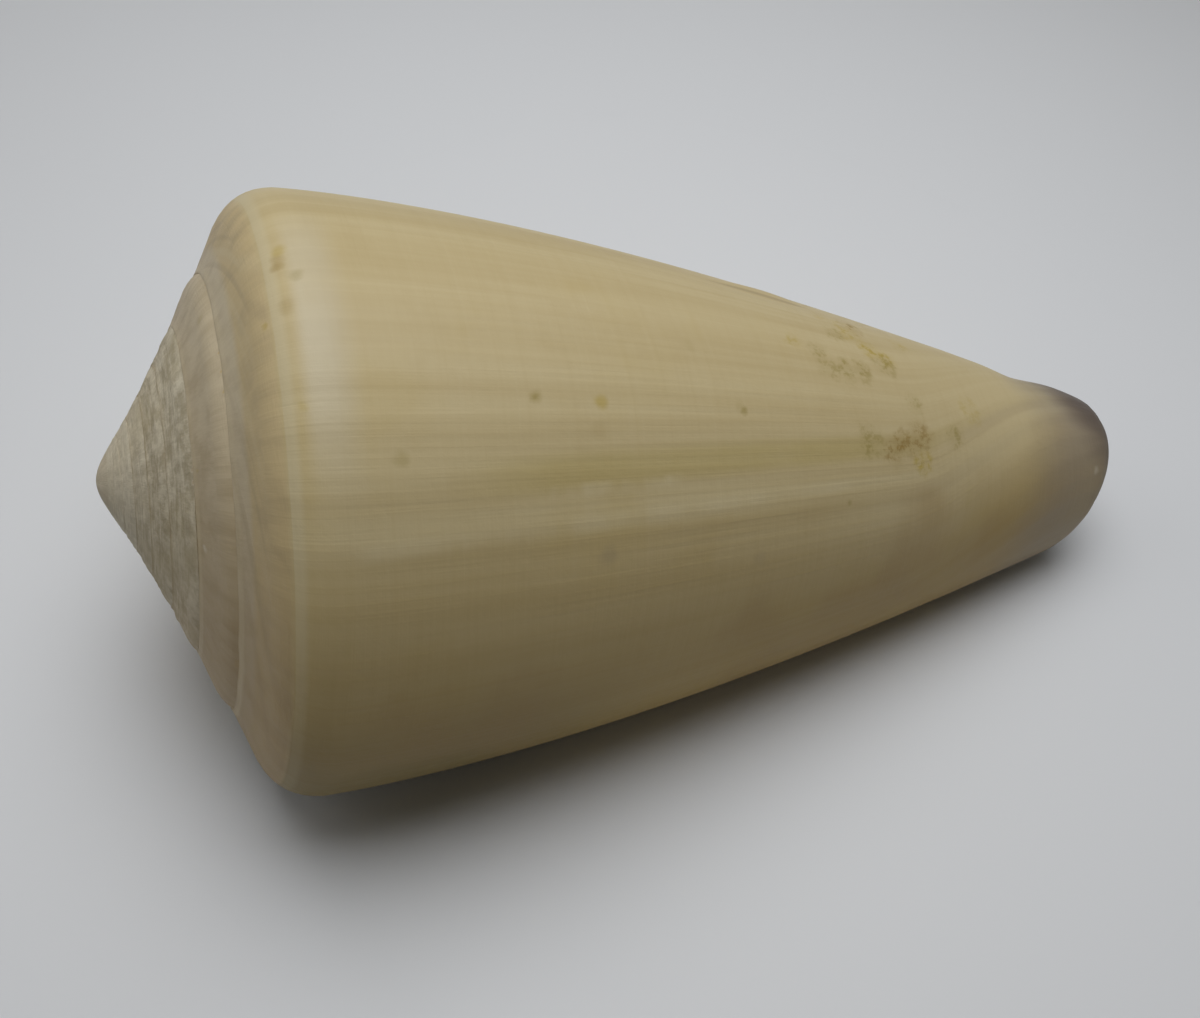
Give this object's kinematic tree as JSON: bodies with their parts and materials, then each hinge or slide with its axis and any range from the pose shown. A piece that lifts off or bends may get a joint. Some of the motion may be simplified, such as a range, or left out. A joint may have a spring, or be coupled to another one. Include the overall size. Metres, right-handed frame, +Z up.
{
  "type": "cone shell",
  "caption": "Smooth heavy cone-shaped sea shell with a low stepped spire, a long narrow aperture along one side and an open rounded front end, lying on its aperture.",
  "frame": {"origin": "on the surface the shell lies on, under the middle of its bounding box", "axes": "+X from the spire's apex towards the front end, +Z up with the shell lying on its aperture, -Y the side of the growing lip"},
  "size_m": [0.1038, 0.054, 0.0498],
  "materials": {
    "shell": "satin cream to tan shell, with a worn grey violet spire and a violet front end"
  },
  "bodies": {
    "root": {"shell": "shell"}
  },
  "joints": []
}
